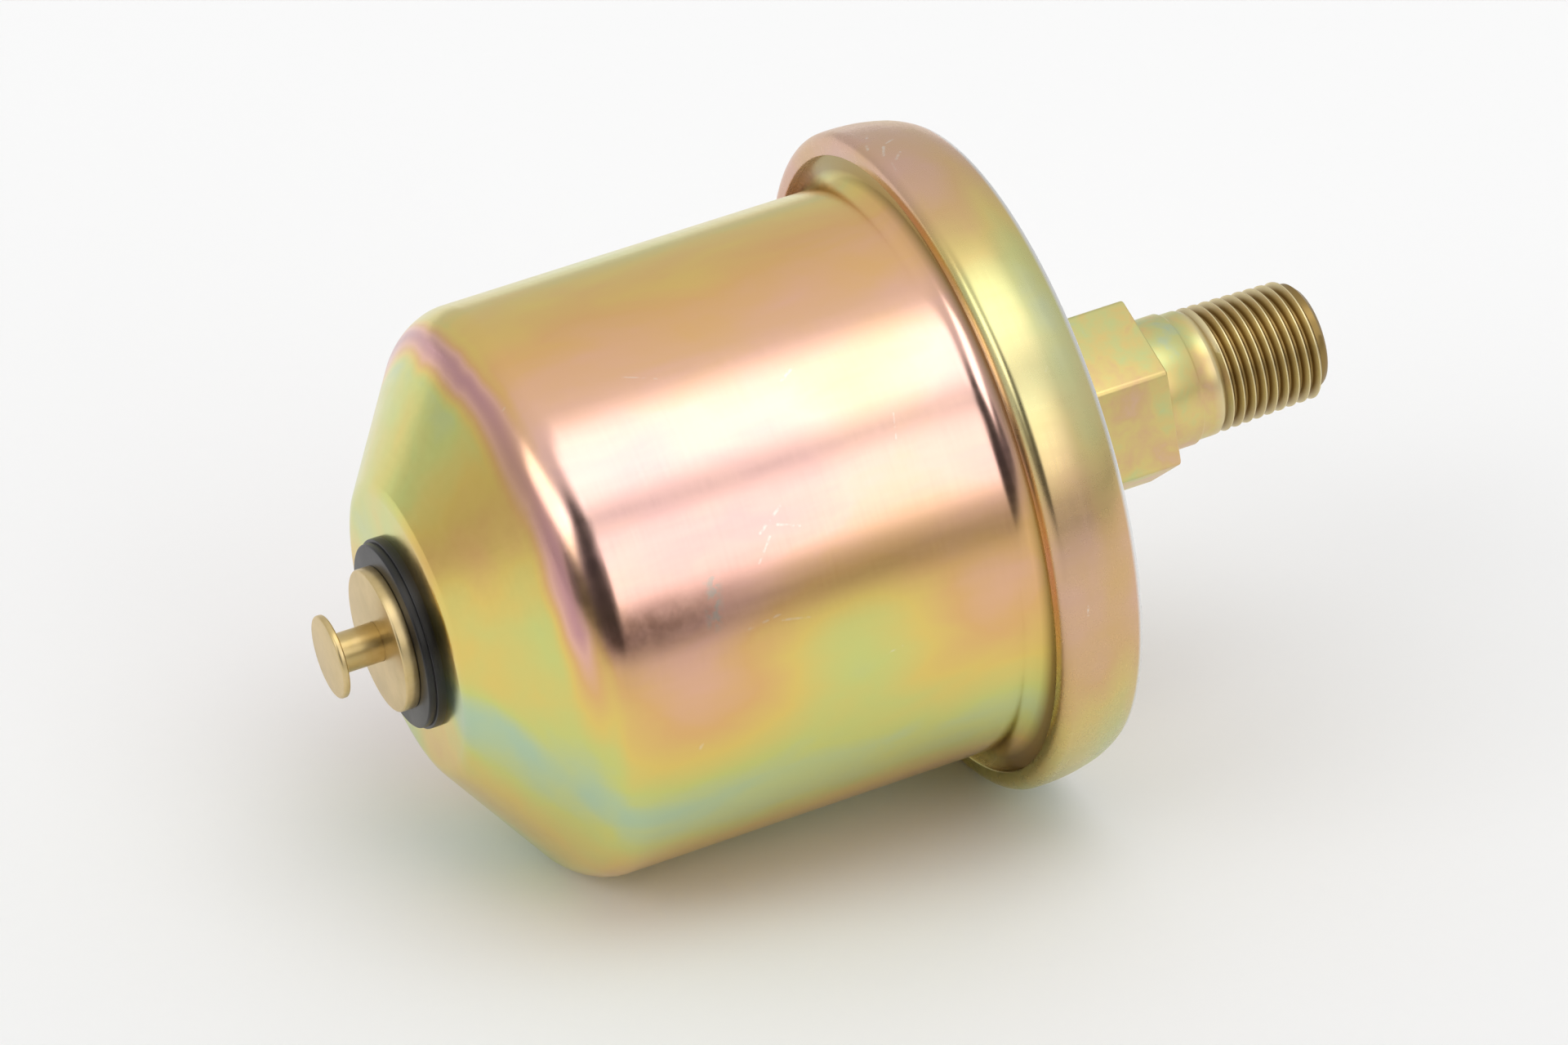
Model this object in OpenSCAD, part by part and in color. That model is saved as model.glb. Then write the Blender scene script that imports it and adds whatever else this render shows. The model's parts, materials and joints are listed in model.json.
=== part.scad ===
/* [Pressure fitting] */
// Diameter over the thread's crests, the mean of the tapered thread
thread_d = 10.3; // [9.6:0.1:10.6]
// Pitch of the thread
thread_pitch = 1; // [0.8:0.1:1.5]
// Length of the plain band before the thread
band_len = 1.5; // [1:0.1:3]
// Length from the end of the plain shank to the tip
thread_len = 11.9; // [9:0.1:16]
// Length of the lead-in chamfer at the tip
tip_chamfer = 0.7; // [0.3:0.1:1]
// Diameter of the plain shank behind the thread
shank_d = 11.06; // [10.7:0.02:12]
// Length of the plain shank
shank_len = 3.3; // [2:0.1:6]
// Width of the hexagon across its flats
hex_af = 14; // [13:0.5:19]
// Length of the hexagon
hex_len = 12.75; // [8:0.25:18]
// Turn of the hexagon about the axis, in degrees
hex_turn = 52; // [0:1:59]
// Diameter of the oil passage
port_d = 3.6; // [2.5:0.1:4]
// Diameter of the spigot brazed into the base
spigot_d = 9; // [7.5:0.5:10]
// Diameter of the restrictor's own hole
restrictor_hole_d = 0.8; // [0.4:0.1:1.2]
// Length of the restrictor
restrictor_len = 4; // [2:0.5:6]
// Depth of the restrictor below the tip
restrictor_depth = 2; // [1:0.5:4]

/* [Base and rolled rim] */
// Largest diameter of the rolled rim
rim_d = 55.1; // [54.6:0.1:58]
// Diameter of the flat back face
base_back_d = 52.4; // [48:0.1:53]
// Thickness of the base floor
base_t = 1.5; // [1:0.1:2]
// Thickness of the rim's wall at its largest diameter
rim_t = 1.15; // [0.9:0.05:1.4]
// Thickness of the lip folded over the can's flange
lip_t = 0.6; // [0.4:0.05:0.9]
// How far the lip reaches over the can's flange
lip_reach = 0.6; // [0.3:0.05:0.9]

/* [Can] */
// Outside diameter of the can
can_d = 47; // [44:0.5:49]
// Sheet thickness of the can
can_t = 0.8; // [0.6:0.05:1]
// Length from the flange face to the tip of the nose
can_len = 44.5; // [40:0.05:52]
// Diameter at the front of the cone
nose_d = 23.6; // [20:0.2:26]
// Angle of the cone from the axis
cone_angle = 54.5; // [48:0.5:60]
// Bend radius between the nose and the cone
nose_r = 2; // [1.5:0.1:3]
// Bend radius of the shoulder
shoulder_r = 4.5; // [3:0.1:6]
// Bend radius where the can flares into its flange
flare_r = 2.2; // [1:0.1:2.2]

/* [Clamped stack] */
// Thickness of the seal ring
seal_t = 1.7; // [1.2:0.1:2.5]
// Thickness of the diaphragm sheet
diaphragm_t = 0.2; // [0.15:0.05:0.3]
// Number of corrugations in the diaphragm
corrugations = 4; // [2:1:5]
// Height of each corrugation
corrugation_h = 0.35; // [0.2:0.05:0.5]
// Thickness of the support plate
plate_t = 1.6; // [1.2:0.1:2]
// Depth of the dish in the support plate
dish_depth = 2.15; // [1.8:0.05:3]
// Diameter of the free middle of the diaphragm
stack_id = 40; // [37:0.5:40]
// Inner diameter of the gasket under the can's flange
gasket_id = 45; // [44:0.2:47]
// Thickness of the gasket under the can's flange
gasket_t = 0.95; // [0.4:0.05:1]

/* [Terminal] */
// Diameter of the nail head
head_d = 6.8; // [6:0.1:8]
// Thickness of the nail head
head_t = 0.55; // [0.4:0.05:0.9]
// Diameter of the stud
stud_d = 3.25; // [2.8:0.05:3.6]
// Bare length of the stud behind the nail head
stud_len = 3.65; // [2.5:0.05:6]
// Diameter of the brass collar
collar_d = 11.7; // [9:0.1:12]
// Thickness of the brass collar
collar_t = 1.2; // [0.8:0.1:2]
// Diameter of the outer insulator
insulator_d = 15.6; // [14:0.1:17]
// Thickness of the outer insulator
insulator_t = 1.35; // [1:0.05:2]
// Depth of the step round the insulator's front layer
insulator_step = 0.25; // [0.1:0.05:0.5]
// Diameter of the insulator's spigot in the can
insulator_spigot_d = 8.2; // [6:0.1:9]
// Diameter of the inner insulator
inner_insulator_d = 13; // [11:0.5:14]
// Thickness of the inner insulator
inner_insulator_t = 1.5; // [1:0.1:2]
// Diameter of the inner washer
inner_washer_d = 6.4; // [5.6:0.1:7]
// Thickness of the inner washer
inner_washer_t = 0.6; // [0.4:0.1:1]
// Thickness of the stud's swaged end
swage_t = 0.55; // [0.4:0.05:0.8]

/* [Push pin and lever] */
// Travel of the push pin
stroke = 1.2; // [0.8:0.05:1.2]
// Diameter of the push pin
pin_d = 4; // [3:0.1:4.4]
// Length of the push pin in front of the thrust pad
pin_len = 9.2; // [8.4:0.1:10]
// Diameter of the thrust pad
pad_d = 12; // [10:0.5:12.5]
// Thickness of the thrust pad
pad_t = 0.6; // [0.4:0.05:0.6]
// Distance from the pivot to the push pin's axis
short_arm = 3; // [2.8:0.1:3.4]
// Distance from the pivot to the wiper contact
long_arm = 20; // [18:0.5:21]
// Distance from the support plate to the pivot
pivot_height = 9; // [8.8:0.1:10]
// Diameter of the pivot pin
pivot_d = 2; // [1.6:0.1:2.2]
// Diameter of the lever's hub
hub_d = 4; // [3.6:0.1:4]
// Thickness of the lever's arm
lever_t = 1.2; // [0.8:0.1:1.4]
// Width of the lever's arm at the hub
lever_w = 3.2; // [2.6:0.1:3.6]
// Diameter of the adjusting screw
screw_d = 2; // [1.6:0.1:2]

/* [Bracket] */
// Sheet thickness of the bracket
bracket_t = 1; // [0.8:0.1:1.2]
// Clear width between the bracket's cheeks
cheek_gap = 11; // [10.6:0.2:12]
// Length of the bracket's foot
foot_len = 20; // [19:0.5:22]
// Spacing of the two bracket rivets
bracket_rivet_pitch = 16.4; // [16:0.1:17]
// Diameter of the rivets
rivet_d = 2; // [1.6:0.1:2]

/* [Resistor] */
// Width of the resistor card
card_w = 6; // [5:0.5:7]
// Thickness of the resistor card
card_t = 1; // [0.8:0.1:1.2]
// Number of turns shown on the winding
winding_turns = 24; // [12:1:30]
// Thickness of the winding
winding_t = 0.3; // [0.2:0.05:0.4]
// Length of the winding past each end of the wiper's sweep
winding_margin = 1.8; // [1.6:0.1:2.4]
// Thickness of the wiper spring and the lead strip
strip_t = 0.35; // [0.25:0.05:0.4]
// Width of the wiper spring
wiper_w = 2.4; // [1.8:0.1:2.6]
// Diameter of the wiper contact
contact_d = 1.4; // [1:0.1:1.6]

/* [Return spring] */
// Wire diameter of the return spring
wire_d = 0.45; // [0.35:0.05:0.5]
// Turns of the return spring
spring_turns = 4; // [3:1:4]

/* [Fits] */
// Radial clearance of a pin that turns or slides
running_fit = 0.04; // [0.02:0.01:0.08]
// Radial clearance of a piece that is swaged or pressed in
seat_fit = 0.02; // [0.01:0.01:0.04]

/* [Hidden] */

$fn = 64;
arc_steps = 8;
cut = 1;

// Stations along the axis, from the start of the thread back to the nose
hex_face = -shank_len;
base_back = hex_face - hex_len;
base_floor = base_back - base_t;
seal_front = base_floor - seal_t;
diaphragm_front = seal_front - diaphragm_t;
plate_front = diaphragm_front - plate_t;
dish_back = diaphragm_front - dish_depth;
dish_front = dish_back - plate_t;
gasket_front = plate_front - gasket_t;
flange_front = gasket_front - can_t;
lip_front = flange_front - lip_t;
nose_front = flange_front - can_len;
nose_back = nose_front + can_t;
insulator_front = nose_front - insulator_t;
collar_front = insulator_front - collar_t;
head_back = collar_front - stud_len;
head_front = head_back - head_t;
inner_insulator_back = nose_back + inner_insulator_t;
eye_back = inner_insulator_back + strip_t;
washer_back = eye_back + inner_washer_t;

// Radii of the rim and the stack it holds
rim_r = rim_d / 2;
rim_inner_r = rim_r - rim_t;
stack_r = rim_inner_r - 2 * seat_fit;
lip_inner_r = stack_r - lip_reach;
can_r = can_d / 2;
swage_r = spigot_d / 2 + 1.1;
spigot_swage_t = 0.6;
inner_bend = 0.8;

// Mechanism layout
pad_front = diaphragm_front - pad_t;
pin_tip = pad_front - pin_len;
foot_front = dish_front - bracket_t;
pivot_x = dish_front - pivot_height;
pivot_y = -short_arm;
sweep = stroke / short_arm * 180 / PI;
half_sweep = sweep / 2;
sweep_y = long_arm * sin(half_sweep);
cheek_z = cheek_gap / 2;
card_x = pivot_x - long_arm;
winding_z = 3;
card_z = winding_z + winding_t;
winding_len = 2 * (sweep_y + winding_margin + contact_d / 2);
holder_wall = 0.6;
block_len = 3;
end_gap = 0.4;
card_len = winding_len + 2 * (block_len - holder_wall + end_gap);
holder_len = card_len + 2 * holder_wall;
contact_top = winding_z - seat_fit;
lead_gap = 2.4;
strip_y = pivot_y + holder_len / 2 + lead_gap;
swaged_stud_r = stud_d / 2 + 0.9;
tab_t = 1.6;
rivet_head_r = rivet_d / 2 + 0.6;
rivet_head_t = 0.6;
rivet_back_t = 0.4;
contact_h = 0.7;
slot_w = 0.4;

function unit(v) = v / norm(v);

// Points of the arc that rounds corner b between a and c
function corner(a, b, c, r) =
    let (
        u = unit(a - b),
        v = unit(c - b),
        half = acos(u * v) / 2,
        middle = b + unit(u + v) * r / sin(half),
        p = b + u * r / tan(half) - middle,
        q = b + v * r / tan(half) - middle,
        start = atan2(p.y, p.x),
        raw = atan2(q.y, q.x) - start,
        turn = raw > 180 ? raw - 360 : raw < -180 ? raw + 360 : raw
    )
    [
        for (i = [0:arc_steps])
            let (a = start + turn * i / arc_steps)
            middle + r * [cos(a), sin(a)]
    ];

function reversed(list) = [for (i = [len(list) - 1:-1:0]) list[i]];

// Outline of the can's sheet, set in by a depth from its outer face
function can_line(depth) =
    let (
        cone_r = nose_d / 2 - depth * cos(cone_angle),
        cone_x = nose_front + depth * sin(cone_angle),
        front = nose_front + depth,
        wall = can_r - depth,
        a = [insulator_spigot_d / 2 + 2 * seat_fit, front],
        b = [cone_r + (front - cone_x) * tan(cone_angle), front],
        c = [wall, cone_x + (wall - cone_r) / tan(cone_angle)],
        d = [wall, flange_front + depth],
        e = [stack_r, flange_front + depth]
    )
    concat(
        [a],
        corner(a, b, c, nose_r - depth),
        corner(b, c, d, shoulder_r - depth),
        corner(c, d, e, flare_r + depth),
        [e]
    );

// Profile of the thread, drawn as one groove for each turn, with a shallow first one where the die ran out
function thread_line(crest_r) =
    let (
        land = 0.15 * thread_pitch,
        flank = 0.35 * thread_pitch,
        depth = 0.6 * thread_pitch,
        turns = floor((thread_len - tip_chamfer - band_len) / thread_pitch)
    )
    [
        for (i = [0:turns - 1])
            let (
                start = band_len + i * thread_pitch,
                root_r = crest_r - (i == 0 ? depth / 2 : depth)
            )
            each [
                [crest_r, start], [root_r, start + flank],
                [root_r, start + flank + land], [crest_r, start + 2 * flank + land]
            ]
    ];

// Turns a profile of [radius, station] points about the part's axis
module turned(points) {
    rotate([0, 90, 0])
        rotate_extrude()
            polygon(points);
}

// Straight cylinder on the part's axis between two stations
module rod(r, from, to) {
    translate([min(from, to), 0, 0])
        rotate([0, 90, 0])
            cylinder(r = r, h = abs(to - from));
}

// Flat ring on the part's axis between two stations
module ring(r_out, r_in, from, to) {
    difference() {
        rod(r_out, from, to);
        rod(r_in, min(from, to) - cut, max(from, to) + cut);
    }
}

// Block between two corners
module block(low, high) {
    translate(low)
        cube(high - low);
}

// Round post along Z between two heights
module post(x, y, r, z_low, z_high) {
    translate([x, y, z_low])
        cylinder(r = r, h = z_high - z_low);
}

// Hexagon, plain shank, threaded end and swaged spigot, turned from one bar
module fitting() {
    thread_r = thread_d / 2;
    color([0.76, 0.68, 0.42])
        difference() {
            union() {
                translate([base_back, 0, 0])
                    rotate([0, 90, 0])
                        rotate([0, 0, hex_turn])
                            cylinder(d = hex_af / cos(30), h = hex_len, $fn = 6);
                rod(shank_d / 2, hex_face - cut, 0);
                turned(concat(
                    [[0, -cut], [thread_r, -cut]],
                    thread_line(thread_r),
                    [
                        [thread_r, thread_len - tip_chamfer],
                        [thread_r - tip_chamfer, thread_len], [0, thread_len]
                    ]
                ));
                rod(spigot_d / 2, base_floor, base_back + cut);
                rod(swage_r, base_floor - spigot_swage_t, base_floor);
            }
            rod(port_d / 2, base_floor - spigot_swage_t - cut, thread_len + cut);
        }
}

// Plug with a fine hole that damps the oil's pulses
module restrictor() {
    color([0.72, 0.6, 0.3])
        ring(
            port_d / 2 - seat_fit, restrictor_hole_d / 2,
            thread_len - restrictor_depth - restrictor_len, thread_len - restrictor_depth
        );
}

// Pressed base whose wall is rolled over the can's flange
module base_shell() {
    hole_r = spigot_d / 2 + seat_fit;
    back_r = base_back_d / 2;
    back_edge = 0.2;
    shoulder_drop = 0.65;
    shoulder_len = 1.3;
    crown_drop = 0.3;
    crown_len = 2.7;
    full_len = 4.8;
    front_bend = lip_t + 0.45;
    bend_a = [rim_r, base_back - full_len];
    bend_b = [rim_r, lip_front];
    bend_c = [lip_inner_r, lip_front];
    inner_a = [rim_inner_r, flange_front];
    inner_b = [rim_inner_r, base_floor];
    inner_c = [hole_r, base_floor];
    color([0.72, 0.66, 0.4])
        turned(concat(
            [
                [hole_r, base_back], [back_r - back_edge, base_back], [back_r, base_back - back_edge],
                [rim_r - shoulder_drop, base_back - shoulder_len],
                [rim_r - crown_drop, base_back - crown_len], bend_a
            ],
            corner(bend_a, bend_b, bend_c, front_bend),
            [bend_c, [lip_inner_r, flange_front], inner_a],
            corner(inner_a, inner_b, inner_c, inner_bend),
            [inner_c]
        ));
}

// Soft ring between the base and the diaphragm
module seal_ring() {
    side_gap = 0.1;
    color([0.1, 0.1, 0.1])
        ring(rim_inner_r - inner_bend - side_gap, stack_id / 2, seal_front, base_floor);
}

// Thin sheet with round corrugations, which the oil pushes forward
module diaphragm() {
    flat_margin = 1;
    flat_r = pad_d / 2 + flat_margin;
    wave_r = stack_id / 2 - flat_margin;
    steps = corrugations * 12;
    span = wave_r - flat_r;
    front = [
        for (i = [0:steps])
            let (wave = 1 - cos(360 * corrugations * i / steps))
            [flat_r + span * i / steps, diaphragm_front + corrugation_h / 2 * wave]
    ];
    back = [for (p = reversed(front)) [p.x, p.y + diaphragm_t]];
    color([0.75, 0.5, 0.3])
        turned(concat(
            [[0, diaphragm_front]], front, [[stack_r, diaphragm_front], [stack_r, seal_front]],
            back, [[0, seal_front]]
        ));
}

// Dished plate that stops the diaphragm and carries the mechanism
module support_plate() {
    bore_r = pin_d / 2 + running_fit;
    side_r = stack_id / 2;
    front_r = side_r + plate_t;
    slope = 0.8;
    color([0.6, 0.61, 0.62])
        difference() {
            turned([
                [bore_r, dish_front], [front_r - slope, dish_front], [front_r, plate_front],
                [stack_r, plate_front], [stack_r, diaphragm_front], [side_r, diaphragm_front],
                [side_r - slope, dish_back], [bore_r, dish_back]
            ]);
            for (side = [-1, 1])
                translate([0, side * bracket_rivet_pitch / 2, 0])
                    rod(rivet_d / 2 + seat_fit, dish_front - cut, dish_back + cut);
        }
}

// Fibre gasket between the support plate and the can's flange
module flange_gasket() {
    color([0.35, 0.25, 0.18])
        ring(stack_r, gasket_id / 2, gasket_front, plate_front);
}

// Drawn can with a flat nose, a cone, a cylinder and a flared flange
module can() {
    color([0.78, 0.7, 0.42])
        turned(concat(can_line(0), reversed(can_line(can_t))));
}

// Moulded bush that keeps the stud clear of the can
module outer_insulator() {
    bore_r = stud_d / 2 + seat_fit;
    outer_r = insulator_d / 2;
    spigot_r = insulator_spigot_d / 2;
    step_x = insulator_front + insulator_t * 0.45;
    edge = 0.15;
    color([0.07, 0.07, 0.08])
        turned([
            [bore_r, insulator_front], [outer_r - insulator_step - edge, insulator_front],
            [outer_r - insulator_step, insulator_front + edge], [outer_r - insulator_step, step_x],
            [outer_r, step_x], [outer_r, nose_front], [spigot_r, nose_front],
            [spigot_r, nose_back], [bore_r, nose_back]
        ]);
}

// Brass washer that the stud draws down on the insulator
module terminal_collar() {
    color([0.8, 0.7, 0.5])
        ring(collar_d / 2, stud_d / 2 + seat_fit, collar_front, insulator_front);
}

// Stud with a nail head outside and a swaged end inside
module terminal_stud() {
    color([0.8, 0.66, 0.42]) {
        rod(stud_d / 2, head_back - head_t / 2, washer_back + swage_t / 2);
        rod(head_d / 2, head_front, head_back);
        rod(swaged_stud_r, washer_back, washer_back + swage_t);
    }
}

// Insulating washer on the inside of the nose
module inner_insulator() {
    color([0.4, 0.28, 0.18])
        ring(inner_insulator_d / 2, stud_d / 2 + seat_fit, nose_back, inner_insulator_back);
}

// Washer under the stud's swaged end
module inner_washer() {
    color([0.8, 0.68, 0.4])
        ring(inner_washer_d / 2, stud_d / 2 + seat_fit, eye_back, washer_back);
}

// Folded strip from the stud to the end of the winding
module lead_strip() {
    strip_w = 3.6;
    low_z = 0.2;
    foot_w = 4;
    foot_lap = 1.2;
    foot_x = card_x - card_w / 2 + 1;
    color([0.82, 0.68, 0.38])
        difference() {
            union() {
                rod(inner_washer_d / 2, inner_insulator_back, eye_back);
                block([inner_insulator_back, 0, low_z], [eye_back, strip_y, low_z + strip_w]);
                block(
                    [inner_insulator_back, strip_y - strip_t, low_z],
                    [foot_x + foot_w, strip_y, low_z + strip_w]
                );
                block(
                    [foot_x, pivot_y + winding_len / 2 - foot_lap, winding_z - strip_t],
                    [foot_x + foot_w, strip_y, winding_z]
                );
            }
            rod(stud_d / 2 + seat_fit, inner_insulator_back - cut, eye_back + cut);
        }
}

// Disc that spreads the push pin's load on the diaphragm
module thrust_pad() {
    color([0.65, 0.66, 0.68])
        ring(pad_d / 2, pin_d / 4, pad_front, diaphragm_front);
}

// Pin that carries the diaphragm's movement to the lever
module push_pin() {
    color([0.7, 0.71, 0.73]) {
        rod(pin_d / 2, pin_tip, pad_front);
        rod(pin_d / 4 - seat_fit, pad_front - cut, diaphragm_front);
    }
}

// Folded bracket with two cheeks, the tall one carries the resistor
module bracket() {
    outer_z = cheek_z + bracket_t;
    foot_w = 2 * outer_z;
    root_y = 6.5;
    waist_x = pivot_x - hub_d;
    waist_low = pivot_y - 5;
    waist_high = pivot_y + 8;
    ear = 3;
    pin_room = 0.6;
    head_x = card_x + card_w / 2 + 2;
    tall_top = card_x - card_w / 2 - 1.2;
    holder_low = pivot_y - holder_len / 2;
    holder_high = pivot_y + holder_len / 2;
    color([0.62, 0.63, 0.6])
        difference() {
            union() {
                block([foot_front, -foot_len / 2, -foot_w / 2], [dish_front, foot_len / 2, foot_w / 2]);
                translate([0, 0, cheek_z])
                    linear_extrude(bracket_t)
                        polygon([
                            [foot_front, -root_y], [foot_front, root_y], [waist_x, waist_high],
                            [head_x, holder_high], [tall_top, holder_high], [tall_top, holder_low],
                            [head_x, holder_low], [waist_x, waist_low]
                        ]);
                translate([0, 0, -cheek_z - bracket_t])
                    linear_extrude(bracket_t)
                        polygon([
                            [foot_front, -root_y], [foot_front, root_y],
                            [pivot_x - ear, pivot_y + ear], [pivot_x - ear, pivot_y - ear]
                        ]);
            }
            rod(pin_d / 2 + pin_room, foot_front - cut, dish_front + cut);
            post(pivot_x, pivot_y, pivot_d / 2 + seat_fit, -outer_z - cut, outer_z + cut);
            for (side = [-1, 1])
                translate([0, side * bracket_rivet_pitch / 2, 0])
                    rod(rivet_d / 2 + seat_fit, foot_front - cut, dish_front + cut);
            for (side = [-1, 1])
                post(card_x, holder_rivet_y(side), rivet_d / 2 + seat_fit, cheek_z - cut, outer_z + cut);
        }
}

// Place of each rivet that holds the card holder
function holder_rivet_y(side) = pivot_y + side * (holder_len / 2 - block_len / 2);

// Two rivets that hold the bracket on the support plate
module bracket_rivets() {
    color([0.7, 0.7, 0.68])
        for (side = [-1, 1])
            translate([0, side * bracket_rivet_pitch / 2, 0]) {
                rod(rivet_d / 2, foot_front - rivet_head_t / 2, dish_back);
                rod(rivet_head_r, foot_front - rivet_head_t, foot_front);
                rod(rivet_head_r, dish_back, dish_back + rivet_back_t);
            }
}

// Pin that the lever turns on, with riveted ends
module pivot_pin() {
    outer_z = cheek_z + bracket_t;
    button_t = 0.4;
    button_r = pivot_d / 2 + 0.5;
    color([0.7, 0.71, 0.72]) {
        post(pivot_x, pivot_y, pivot_d / 2, -outer_z - button_t / 2, outer_z + button_t / 2);
        post(pivot_x, pivot_y, button_r, outer_z, outer_z + button_t);
        post(pivot_x, pivot_y, button_r, -outer_z - button_t, -outer_z);
    }
}

// Lever with its hub, the tab for the screw and the long arm
module lever() {
    end_play = 0.2;
    arm_end = long_arm * 0.62;
    color([0.66, 0.67, 0.62])
        difference() {
            union() {
                post(pivot_x, pivot_y, hub_d / 2, -cheek_z + end_play, cheek_z - end_play);
                block(
                    [pivot_x - tab_t / 2, pivot_y, -screw_d],
                    [pivot_x + tab_t / 2, screw_d * 0.9, screw_d]
                );
                translate([pivot_x, pivot_y, -lever_t / 2])
                    rotate([0, 0, -half_sweep])
                        linear_extrude(lever_t)
                            polygon([
                                [0, -lever_w / 2], [0, lever_w / 2],
                                [-arm_end, wiper_w / 2], [-arm_end, -wiper_w / 2]
                            ]);
            }
            post(pivot_x, pivot_y, pivot_d / 2 + running_fit, -cheek_gap, cheek_gap);
            rod(screw_d / 2 + seat_fit, pivot_x - tab_t, pivot_x + tab_t);
        }
}

// Domed grub screw that sets where the push pin meets the lever
module adjusting_screw() {
    r = screw_d / 2;
    slot_end = pivot_x - tab_t / 2 - slot_w;
    color([0.75, 0.72, 0.5])
        difference() {
            union() {
                rod(r, slot_end, pin_tip - r);
                translate([pin_tip - r, 0, 0])
                    sphere(r = r);
            }
            block([slot_end - cut, -slot_w / 2, -2 * r], [slot_end + slot_w, slot_w / 2, 2 * r]);
        }
}

// Moves to the pivot and turns to where the long arm points at rest
module on_long_arm() {
    translate([pivot_x, pivot_y, 0])
        rotate([0, 0, -half_sweep])
            children();
}

// Spring strip on the long arm that presses the contact on the winding
module wiper_arm() {
    low = lever_t / 2;
    high = contact_top - contact_h;
    root_x = -4.5;
    end_x = -long_arm - 1.3;
    fold_x = -long_arm * 0.66;
    rise_x = -long_arm + 2.2;
    color([0.8, 0.6, 0.35])
        difference() {
            on_long_arm()
                translate([0, wiper_w / 2, 0])
                    rotate([90, 0, 0])
                        linear_extrude(wiper_w)
                            polygon([
                                [root_x, low], [fold_x, low],
                                [rise_x, high - strip_t], [end_x, high - strip_t],
                                [end_x, high], [rise_x, high],
                                [fold_x, low + strip_t], [root_x, low + strip_t]
                            ]);
            on_long_arm()
                post(-long_arm, 0, contact_d / 4 + seat_fit, 0, winding_z);
        }
}

// Domed contact riveted through the wiper arm
module wiper_contact() {
    r = contact_d / 2;
    seat = contact_top - contact_h;
    tail_t = 0.2;
    color([0.85, 0.85, 0.86])
        on_long_arm() {
            post(-long_arm, 0, r / 2, seat - strip_t - tail_t / 2, seat + tail_t / 2);
            post(-long_arm, 0, r * 0.8, seat - strip_t - tail_t, seat - strip_t);
            intersection() {
                translate([-long_arm, 0, contact_top - r])
                    sphere(r = r);
                post(-long_arm, 0, 2 * r, seat, winding_z + cut);
            }
        }
}

// Points along the torsion spring: a leg on the lever's tab, the coil and a leg on the foot
coil_gap = 0.15;
coil_r = hub_d / 2 + wire_d / 2 + coil_gap;
coil_top = -screw_d - wire_d;
coil_pitch = wire_d + coil_gap / 2;
coil_steps = 16;
coil_turns = spring_turns + 0.25;
coil_end = coil_top - coil_pitch * coil_turns;
tab_leg_x = -tab_t / 2 - wire_d / 2 - coil_gap / 3;
tab_leg_y = 2.5;
foot_leg_x = foot_front - pivot_x - wire_d / 2;
function coil_points() = [
    for (i = [0:coil_turns * coil_steps])
        let (a = 180 + 360 * i / coil_steps)
        [coil_r * cos(a), coil_r * sin(a), coil_top - coil_pitch * i / coil_steps]
];
function spring_points() = concat(
    [
        [tab_leg_x, tab_leg_y, coil_top / 2], [tab_leg_x, tab_leg_y * 0.9, coil_top],
        [-coil_r, tab_leg_y * 0.6, coil_top]
    ],
    coil_points(),
    [[foot_leg_x, -coil_r, coil_end]]
);

// Torsion spring that turns the lever back on the push pin
module return_spring() {
    path = spring_points();
    sides = 8;
    last = len(path) - 1;
    rings = [
        for (i = [0:last])
            let (
                along = unit(path[min(i + 1, last)] - path[max(i - 1, 0)]),
                across = unit(cross(along, [0, 0, 1])),
                up = cross(across, along)
            )
            for (j = [0:sides - 1])
                path[i] + wire_d / 2 * (across * cos(360 * j / sides) + up * sin(360 * j / sides))
    ];
    walls = [
        for (i = [0:last - 1])
            for (j = [0:sides - 1])
                let (k = (j + 1) % sides)
                [i * sides + j, i * sides + k, (i + 1) * sides + k, (i + 1) * sides + j]
    ];
    start_cap = [[for (j = [sides - 1:-1:0]) j]];
    end_cap = [[for (j = [0:sides - 1]) last * sides + j]];
    color([0.55, 0.56, 0.58])
        translate([pivot_x, pivot_y, 0])
            polyhedron(points = rings, faces = concat(walls, start_cap, end_cap));
}

// Flat insulating card that the wire is wound on
module resistor_card() {
    color([0.55, 0.35, 0.2])
        block(
            [card_x - card_w / 2, pivot_y - card_len / 2, card_z],
            [card_x + card_w / 2, pivot_y + card_len / 2, card_z + card_t]
        );
}

// Resistance wire, drawn as a sleeve with one ridge for each turn
module resistor_winding() {
    pitch = winding_len / winding_turns;
    sleeve = winding_t * 0.6;
    color([0.78, 0.76, 0.7])
        difference() {
            union() {
                winding_ring(sleeve, -winding_len / 2, winding_len / 2);
                for (i = [0:winding_turns - 1])
                    let (start = -winding_len / 2 + pitch * i)
                        winding_ring(winding_t, start + 0.25 * pitch, start + 0.75 * pitch);
            }
            winding_ring(0, -winding_len, winding_len);
        }
}

// Block round the card, larger by a wall, between two places along it
module winding_ring(wall, from, to) {
    block(
        [card_x - card_w / 2 - wall, pivot_y + from, card_z - wall],
        [card_x + card_w / 2 + wall, pivot_y + to, card_z + card_t + wall]
    );
}

// Moulded holder that grips both ends of the card
module card_holder() {
    half = holder_len / 2;
    half_w = card_w / 2 + winding_t + holder_wall;
    card_gap = 0.2;
    plate_z = card_z + card_t + winding_t + card_gap;
    color([0.2, 0.14, 0.1])
        difference() {
            union() {
                block([card_x - half_w, pivot_y - half, plate_z], [card_x + half_w, pivot_y + half, cheek_z]);
                for (side = [-1, 1])
                    block(
                        [card_x - half_w, pivot_y + (side < 0 ? -half : half - block_len), winding_z],
                        [card_x + half_w, pivot_y + (side < 0 ? block_len - half : half), cheek_z]
                    );
            }
            winding_ring(0, -card_len / 2, card_len / 2);
            for (side = [-1, 1])
                post(card_x, holder_rivet_y(side), rivet_d / 2 + seat_fit, card_z + card_t, cheek_z + cut);
        }
}

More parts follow.
